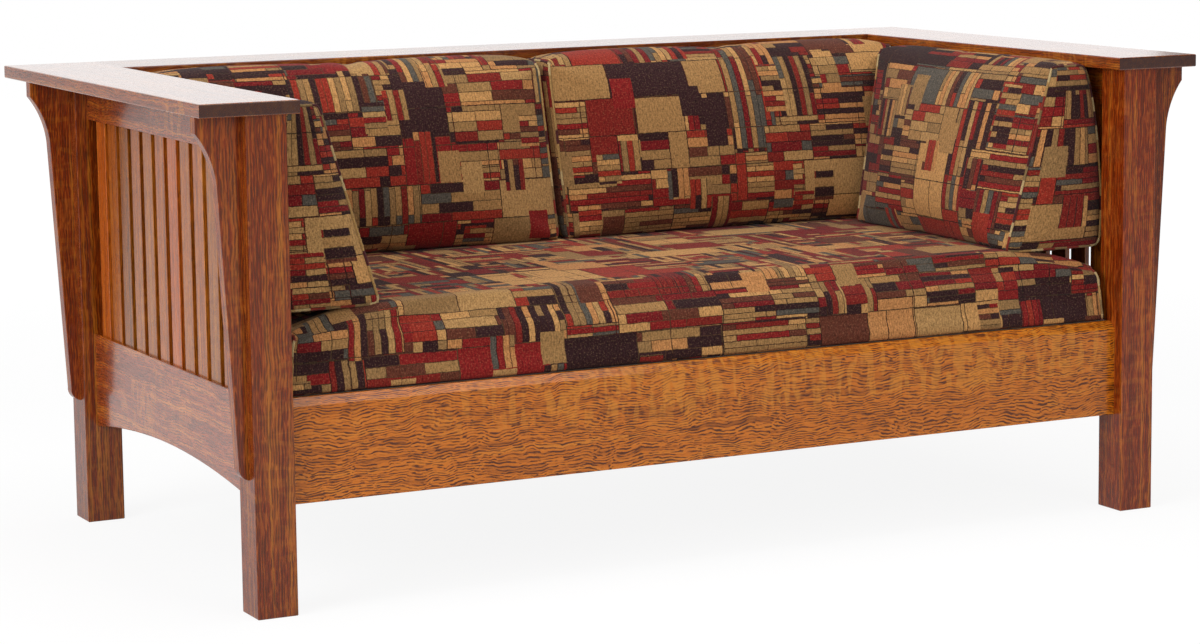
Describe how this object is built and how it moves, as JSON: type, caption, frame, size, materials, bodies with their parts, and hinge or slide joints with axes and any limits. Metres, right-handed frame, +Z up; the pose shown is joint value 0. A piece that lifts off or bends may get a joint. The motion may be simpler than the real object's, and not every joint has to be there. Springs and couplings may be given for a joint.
{
  "type": "mission settle",
  "caption": "Mission-style oak settle with flat arm and back caps on corbels, slatted sides and back, a sprung seat, and loose seat, back and wedge side cushions.",
  "frame": {"origin": "on the floor under the middle of the caps", "axes": "+X to the right of someone facing the settle's front, +Y towards its back, +Z up"},
  "size_m": [1.752, 0.944, 0.762],
  "materials": {
    "stained_oak": "satin lacquer",
    "unfinished_wood": "sawn",
    "spring_wire": "drawn wire",
    "steel_fittings": "zinc plated",
    "deck_pad": "pressed felt",
    "upholstery": "ribbed chenille in a patchwork of blocks"
  },
  "bodies": {
    "frame": {"back_cap": "stained_oak", "back_left_corbel": "stained_oak", "back_lower_rail": "stained_oak", "back_right_corbel": "stained_oak", "back_slats": "stained_oak", "back_upper_rail": "stained_oak", "deck_pad": "deck_pad", "dowels": "unfinished_wood", "front_left_corbel": "stained_oak", "front_left_post": "stained_oak", "front_rail": "stained_oak", "front_right_corbel": "stained_oak", "front_right_post": "stained_oak", "front_spring_strip": "unfinished_wood", "left_arm_cap": "stained_oak", "left_lower_rail": "stained_oak", "left_seat_cleat": "unfinished_wood", "left_slat_01": "stained_oak", "left_slat_02": "stained_oak", "left_slat_03": "stained_oak", "left_slat_04": "stained_oak", "left_slat_05": "stained_oak", "left_slat_06": "stained_oak", "left_slat_07": "stained_oak", "left_slat_08": "stained_oak", "left_slat_09": "stained_oak", "left_slat_10": "stained_oak", "left_slat_11": "stained_oak", "left_slat_12": "stained_oak", "left_upper_rail": "stained_oak", "rear_left_corbel": "stained_oak", "rear_left_post": "stained_oak", "rear_right_corbel": "stained_oak", "rear_right_post": "stained_oak", "rear_spring_strip": "unfinished_wood", "right_arm_cap": "stained_oak", "right_lower_rail": "stained_oak", "right_seat_cleat": "unfinished_wood", "right_slat_01": "stained_oak", "right_slat_02": "stained_oak", "right_slat_03": "stained_oak", "right_slat_04": "stained_oak", "right_slat_05": "stained_oak", "right_slat_06": "stained_oak", "right_slat_07": "stained_oak", "right_slat_08": "stained_oak", "right_slat_09": "stained_oak", "right_slat_10": "stained_oak", "right_slat_11": "stained_oak", "right_slat_12": "stained_oak", "right_upper_rail": "stained_oak", "screws": "steel_fittings", "seat_brace": "unfinished_wood", "seat_springs": "spring_wire", "spring_clips": "steel_fittings"},
    "seat_cushion": {"seat_cushion": "upholstery"},
    "left_back_cushion": {"left_back_cushion": "upholstery"},
    "right_back_cushion": {"right_back_cushion": "upholstery"},
    "left_side_cushion": {"left_side_cushion": "upholstery"},
    "right_side_cushion": {"right_side_cushion": "upholstery"}
  },
  "joints": [
    {"name": "seat_cushion_pull", "type": "slide", "parent": "frame", "child": "seat_cushion", "axis": [0, -1, 0], "range_m": [0, 0.82]},
    {"name": "left_back_cushion_lift", "type": "slide", "parent": "frame", "child": "left_back_cushion", "axis": [0, 0.2334, 0.9724], "range_m": [0, 0.34]},
    {"name": "right_back_cushion_lift", "type": "slide", "parent": "frame", "child": "right_back_cushion", "axis": [0, 0.2334, 0.9724], "range_m": [0, 0.34]},
    {"name": "left_side_cushion_lift", "type": "slide", "parent": "frame", "child": "left_side_cushion", "axis": [0.342, 0, 0.9397], "range_m": [0, 0.35]},
    {"name": "right_side_cushion_lift", "type": "slide", "parent": "frame", "child": "right_side_cushion", "axis": [-0.342, 0, 0.9397], "range_m": [0, 0.35]}
  ]
}
